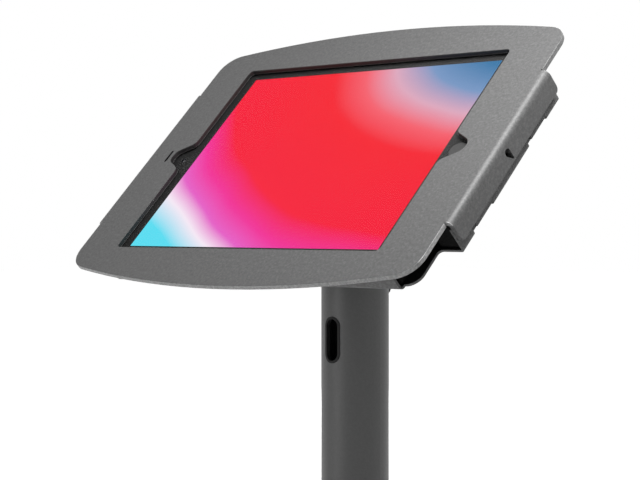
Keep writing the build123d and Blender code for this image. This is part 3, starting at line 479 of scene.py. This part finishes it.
def glass(name):
    """The tablet's cover glass: a clear sheet with a trace of finger marks in its gloss."""
    look = Look(name, (0.0, 0.0, 0.0), roughness=0.04)
    look.shader.inputs["Alpha"].default_value = GLASS_OPACITY
    look.rough(look.noise(28.0), low=0.03, high=0.07)
    look.material.surface_render_method = "BLENDED"
    return look.material


def black_print(name, level):
    """The black border printed behind the glass."""
    base = grey(level)
    look = Look(name, base, roughness=0.5, specular=0.0)
    look.mottle(look.noise(700.0), scaled(base, 0.92), scaled(base, 1.08))
    return look.material


def lens(name):
    """A dark lens with a coated centre."""
    look = Look(name, grey(10), roughness=0.08)
    look.shader.inputs["Coat Weight"].default_value = 0.3
    look.shader.inputs["Coat Roughness"].default_value = 0.02
    tint = look.ramp(look.noise(220.0), [(0.35, sixteen("05060c")), (0.65, sixteen("10142a"))])
    look.color(tint)
    return look.material


def glossy_black(name):
    """The home button's hard gloss."""
    look = Look(name, grey(56), roughness=0.3, specular=0.2)
    look.mottle(look.noise(500.0), grey(53), grey(59))
    look.rough(look.noise(120.0), low=0.26, high=0.38)
    return look.material


def battery_film(name):
    """Dark film over the cells, slightly puckered."""
    look = Look(name, grey(40), roughness=0.4)
    look.mottle(look.noise(45.0), grey(32), grey(50))
    look.bump(look.noise(70.0), strength=0.3, distance=0.3 * MM)
    return look.material


def solder_mask(name):
    """A circuit board's green lacquer with its traces showing through."""
    look = Look(name, sixteen("123d22"), roughness=0.35)
    traces = look.cells(260.0, feature="DISTANCE_TO_EDGE")
    look.color(look.ramp(traces, [(0.02, sixteen("2f6e3d")), (0.1, sixteen("0f3a1f"))]))
    look.bump(traces, strength=0.2, distance=0.05 * MM)
    return look.material


PICTURE_STOPS = [
    (0.00, "1f6ba3"), (0.18, "4480b0"), (0.28, "7f9fcc"), (0.36, "e6b0c6"), (0.43, "ff6674"),
    (0.50, "ff2836"), (0.74, "ff2440"), (0.82, "fb37a0"), (0.88, "ee66cf"), (0.93, "fff2ff"), (1.00, "5fe6fb"),
]
PICTURE_CORNER_SHARES = (1.25, 1.45)
PICTURE_REACH_SHARE = 3.15
PICTURE_WAVE_SHARE = 0.14


def away_from(look, across, upright, point):
    """How far a place on the screen lies from a point, in half widths and half heights."""
    step_x = look.math("SUBTRACT", across, point[0])
    step_y = look.math("SUBTRACT", upright, point[1])
    square_x = look.math("MULTIPLY", step_x, step_x)
    square_y = look.math("MULTIPLY", step_y, step_y)
    return look.math("SQRT", look.math("ADD", square_x, square_y))


def lit_screen(name):
    """The display: soft arcs of colour about one corner, lit from behind, on a black panel."""
    look = Look(name, grey(8), roughness=0.4, specular=0.0)
    across = look.math("MULTIPLY", look.along(RIGHT), 2 / SCREEN_WIDTH)
    height = look.math("SUBTRACT", look.along(UP), ORIGIN.dot(UP))
    upright = look.math("MULTIPLY", height, 2 / SCREEN_HEIGHT)
    reach = away_from(look, across, upright, PICTURE_CORNER_SHARES)
    wave = look.noise(9.0, detail=1.5, roughness=0.4)
    wave = look.math("SUBTRACT", wave, 0.5)
    wave = look.math("MULTIPLY", wave, PICTURE_WAVE_SHARE * PICTURE_REACH_SHARE)
    value = look.math("DIVIDE", look.math("ADD", reach, wave), PICTURE_REACH_SHARE)
    picture = look.ramp(value, [(position, sixteen(text)) for position, text in PICTURE_STOPS])
    front = max(vertex.co.dot(NORMAL) for vertex in frame["nodes"]["tablet_display"].data.vertices)
    lit = look.math("GREATER_THAN", look.along(NORMAL), front - PICTURE_MARGIN)
    look.link(picture, look.shader.inputs["Emission Color"])
    look.link(lit, look.shader.inputs["Emission Strength"])
    look.mottle(look.noise(300.0), grey(6), grey(11))
    return look.material


# Each of the record's slots, with the look that makes it and that look's values
FINISHES = {
    "powder_coat_cover": (cover_coat_painted_light, {"level": 80}),
    "powder_coat_tray": (tray_coat_painted_shade, {"level": 116}),
    "powder_coat_pole": (powder_coat, {"level": 68, "grain_share": 0.08, "roughness": 0.46}),
    "powder_coat_base": (powder_coat, {"level": 76, "grain_share": 0.12, "roughness": 0.48}),
    "powder_coat_bracket": (powder_coat, {"level": 100, "grain_share": 0.12}),
    "base_rubber": (ribbed_rubber, {"level": 34}),
    "slot_rubber": (rubber, {"level": 18}),
    "screw_steel": (black_oxide, {"level": 38}),
    "bolt_steel": (plated, {"color": sixteen("b9bcc0"), "roughness": 0.3}),
    "hinge_steel": (black_oxide, {"level": 52}),
    "rivet_aluminium": (plated, {"color": sixteen("c4c6c9"), "roughness": 0.36}),
    "washer_plastic": (nylon, {}),
    "foam": (foam, {"level": 20}),
    "lock_chrome": (plated, {"color": sixteen("d4d6d8"), "roughness": 0.14}),
    "cam_steel": (plated, {"color": sixteen("a9a48e"), "roughness": 0.34}),
    "tablet_aluminium": (blasted_aluminium, {"level": 150}),
    "screen_glass": (glass, {}),
    "bezel_black": (black_print, {"level": 56}),
    "screen_panel": (lit_screen, {}),
    "battery_wrap": (battery_film, {}),
    "circuit_board": (solder_mask, {}),
    "camera_lens": (lens, {}),
    "button_black": (glossy_black, {}),
    "button_aluminium": (blasted_aluminium, {"level": 140}),
}


def finishes():
    """One material for each of the slots."""
    return {slot: make(slot, **values) for slot, (make, values) in FINISHES.items()}


def paint_frame(looks):
    """Gives each CAD node the finish of its slot."""
    for part in frame["record"]["subparts"]:
        piece = frame["nodes"][part["node"]]
        piece.data.materials.clear()
        piece.data.materials.append(looks[part["material_slot"]])


# Modelled pieces

def piece_from(work, name, look, smooth=True):
    """An object of the head from a finished bmesh in the head's frame."""
    work.transform(HEAD)
    bmesh.ops.recalc_face_normals(work, faces=work.faces)
    mesh = bpy.data.meshes.new(name)
    work.to_mesh(mesh)
    work.free()
    mesh.materials.append(look)
    for face in mesh.polygons:
        face.use_smooth = smooth
    piece = bpy.data.objects.new(name, mesh)
    bpy.context.scene.collection.objects.link(piece)
    return piece


def add_soft_block(work, low, high, rounding, crown):
    """A foam block inside a box: rounded edges and faces that rise a little in the middle."""
    size = high - low
    middle = (high + low) / 2
    block = bmesh.new()
    bmesh.ops.create_cube(block, size=1.0)
    bmesh.ops.scale(block, vec=size - 2 * Vector((crown, crown, crown)), verts=block.verts)
    flat_count = len(block.faces)
    inset = min(size) / 3
    bmesh.ops.bevel(
        block, geom=list(block.edges), offset=rounding, segments=FOAM_ROUND_STEPS, profile=0.5, affect="EDGES"
    )
    flats = sorted(block.faces, key=lambda face: -face.calc_area())[:flat_count]
    bmesh.ops.inset_individual(block, faces=flats, thickness=inset - rounding, depth=crown)
    bmesh.ops.translate(block, vec=middle, verts=block.verts)
    mesh = bpy.data.meshes.new("soft block")
    block.to_mesh(mesh)
    block.free()
    work.from_mesh(mesh)
    bpy.data.meshes.remove(mesh)


def make_foam(node, name, body, look, rounding, crown):
    """One soft piece in the place of all the plain blocks of a foam node."""
    work = bmesh.new()
    for low, high in solid_boxes(node):
        add_soft_block(work, low, high, rounding, crown)
    piece = piece_from(work, name, look)
    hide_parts(node)
    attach(piece, body)


def make_glass(look):
    """The cover glass, a hair thinner than its solid, so that its back clears what lies behind it."""
    work = bmesh.new()
    work.from_mesh(frame["nodes"]["tablet_glass"].data)
    work.transform(TO_HEAD)
    back = min(vertex.co.z for vertex in work.verts)
    for vertex in work.verts:
        if vertex.co.z < back + GLASS_CLEARANCE / 2:
            vertex.co.z += GLASS_CLEARANCE
    piece = piece_from(work, "cover_glass", look, smooth=False)
    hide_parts("tablet_glass")
    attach(piece, "head")


def make_picture(look):
    """The lit picture: a thin film on the front of the display, behind the glass."""
    low, high = solid_boxes("tablet_display")[0]
    work = bmesh.new()
    bmesh.ops.create_cube(work, size=1.0)
    size = Vector((SCREEN_WIDTH, SCREEN_HEIGHT, PICTURE_FILM))
    bmesh.ops.scale(work, vec=size, verts=work.verts)
    middle = (high + low) / 2
    bmesh.ops.translate(work, vec=(middle.x, middle.y, high.z + PICTURE_FILM / 2), verts=work.verts)
    piece = piece_from(work, "screen_picture", look, smooth=False)
    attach(piece, "head")


def add_bead(work, start_x, way_x, depth):
    """A weld bead along the head's y axis, in the corner of an ear and the bracket's plate."""
    ripples = round(2 * BEAD_HALF_LENGTH / BEAD_RIPPLE)
    steps = ripples * BEAD_STEPS_PER_RIPPLE
    rows = []
    for step in range(steps + 1):
        along = -BEAD_HALF_LENGTH + 2 * BEAD_HALF_LENGTH * step / steps
        ripple = abs(sin(pi * step / BEAD_STEPS_PER_RIPPLE))
        end = min(1.0, 2 * min(step, steps - step) / BEAD_STEPS_PER_RIPPLE)
        ripple_share = 1 - BEAD_RIPPLE_SHARE + BEAD_RIPPLE_SHARE * ripple
        end_share = BEAD_END_SHARE + (1 - BEAD_END_SHARE) * end
        radius = BEAD_RADIUS * ripple_share * end_share
        row = []
        for side in range(BEAD_SIDES + 1):
            turn = pi / 2 * side / BEAD_SIDES
            x = start_x + way_x * radius * cos(turn)
            row.append(work.verts.new((x, along, -depth - radius * sin(turn))))
        row.append(work.verts.new((start_x, along, -depth)))
        rows.append(row)
    for first, second in zip(rows, rows[1:]):
        for side in range(len(first)):
            after = (side + 1) % len(first)
            work.faces.new((first[side], first[after], second[after], second[side]))
    work.faces.new(rows[0])
    work.faces.new(rows[-1])


def make_weld_beads(look):
    """Beads on both sides of both ears."""
    ear_inner = max(high.x for low, high in solid_boxes("friction_washers"))
    ear_outer = solid_boxes("spring_washer")[0][0].x
    plate_back = -max(high.z for low, high in solid_boxes("bracket_nuts"))
    work = bmesh.new()
    for side in (-1, 1):
        add_bead(work, side * ear_outer, side, plate_back)
        add_bead(work, side * ear_inner, -side, plate_back)
    piece = piece_from(work, "weld_beads", look)
    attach(piece, "head")


# Stage

FLOOR_REACH = 6.0
FLOOR_LEVEL = 236
FLOOR_CAMERA_GLOW = 0.85
WORLD_STRENGTH = 0.18


def background_glow(tree, inside, strength_when_seen, strength_otherwise):
    """A strength that is higher for what the camera, gloss or glass sees straight on."""
    path = tree.nodes.new("ShaderNodeLightPath")
    seen = path.outputs["Is Camera Ray"]
    for name in ("Is Glossy Ray", "Is Transmission Ray"):
        step = tree.nodes.new("ShaderNodeMath")
        step.operation = "MAXIMUM"
        tree.links.new(seen, step.inputs[0])
        tree.links.new(path.outputs[name], step.inputs[1])
        seen = step.outputs["Value"]
    spread = tree.nodes.new("ShaderNodeMapRange")
    spread.inputs["To Min"].default_value = strength_otherwise
    spread.inputs["To Max"].default_value = strength_when_seen
    tree.links.new(seen, spread.inputs["Value"])
    tree.links.new(spread.outputs["Result"], inside)


def make_floor():
    mesh = bpy.data.meshes.new("floor")
    corners = [(-FLOOR_REACH, -FLOOR_REACH, 0), (FLOOR_REACH, -FLOOR_REACH, 0),
               (FLOOR_REACH, FLOOR_REACH, 0), (-FLOOR_REACH, FLOOR_REACH, 0)]
    mesh.from_pydata(corners, [], [(0, 1, 2, 3)])
    floor = bpy.data.objects.new("floor", mesh)
    bpy.context.scene.collection.objects.link(floor)
    look = Look("pale_floor", grey(FLOOR_LEVEL), roughness=0.9, specular=0.1)
    look.shader.inputs["Emission Color"].default_value = (1.0, 1.0, 1.0, 1.0)
    background_glow(look.tree, look.shader.inputs["Emission Strength"], FLOOR_CAMERA_GLOW, 0.0)
    mesh.materials.append(look.material)


def make_world():
    world = bpy.data.worlds.new("studio")
    bpy.context.scene.world = world
    world.use_nodes = True
    tree = world.node_tree
    sky = tree.nodes["Background"]
    sky.inputs["Color"].default_value = (1.0, 1.0, 1.0, 1.0)
    background_glow(tree, sky.inputs["Strength"], 1.0, WORLD_STRENGTH)


def add_light(name, place, target, size, power):
    """A soft square light that points at a target and isn't seen itself."""
    lamp = bpy.data.lights.new(name, "AREA")
    lamp.shape = "SQUARE"
    lamp.size = size
    lamp.energy = power
    light = bpy.data.objects.new(name, lamp)
    light.location = place
    light.rotation_euler = (Vector(target) - Vector(place)).to_track_quat("-Z", "Y").to_euler()
    light.visible_camera = False
    bpy.context.scene.collection.objects.link(light)


def make_lights():
    face = HEAD @ Vector((0.05, 0.02, 0))
    add_light("key", HEAD @ Vector((0.20, 0.13, 0.22)), face, size=0.18, power=1.76)
    add_light("left", Vector((-0.4, -1.2, 0.05)), Vector((0, 0, 0.12)), size=0.5, power=3.4)
    add_light("rear", Vector((-0.8, 1.0, 0.6)), Vector((0, 0, 0.2)), size=0.8, power=9.0)


def make_camera():
    """The photograph's viewpoint: level, from the front and the right."""
    right = Vector((cos(CAMERA_AZIMUTH), sin(CAMERA_AZIMUTH), 0))
    forward = Vector((-sin(CAMERA_AZIMUTH), cos(CAMERA_AZIMUTH), 0))
    up = Vector((0, 0, 1))
    x, y, z = WINDOW_FROM_CAMERA
    data = bpy.data.cameras.new("camera")
    data.sensor_width = CAMERA_SENSOR
    data.lens = CAMERA_FOCAL
    data.shift_x, data.shift_y = CAMERA_SHIFT
    data.clip_start = CAMERA_NEAR
    camera = bpy.data.objects.new("camera", data)
    camera.location = WINDOW_CENTRE - right * x - up * y - forward * z
    camera.rotation_euler = (pi / 2, 0, CAMERA_AZIMUTH)
    bpy.context.scene.collection.objects.link(camera)
    bpy.context.scene.camera = camera


bpy.context.scene.view_settings.view_transform = "Standard"

make_camera()
looks = finishes()
paint_frame(looks)
make_foam("back_foam_pads", "back_foam", "head", looks["foam"], FOAM_ROUND, FOAM_CROWN)
make_foam("side_foam_pads", "side_foam", "head", looks["foam"], FOAM_ROUND, FOAM_CROWN)
make_foam("screen_gasket", "gasket_strips", "cover", looks["foam"], STRIP_ROUND, STRIP_CROWN)
make_glass(looks["screen_glass"])
make_picture(looks["screen_panel"])
make_weld_beads(looks["powder_coat_bracket"])
make_floor()
make_world()
make_lights()
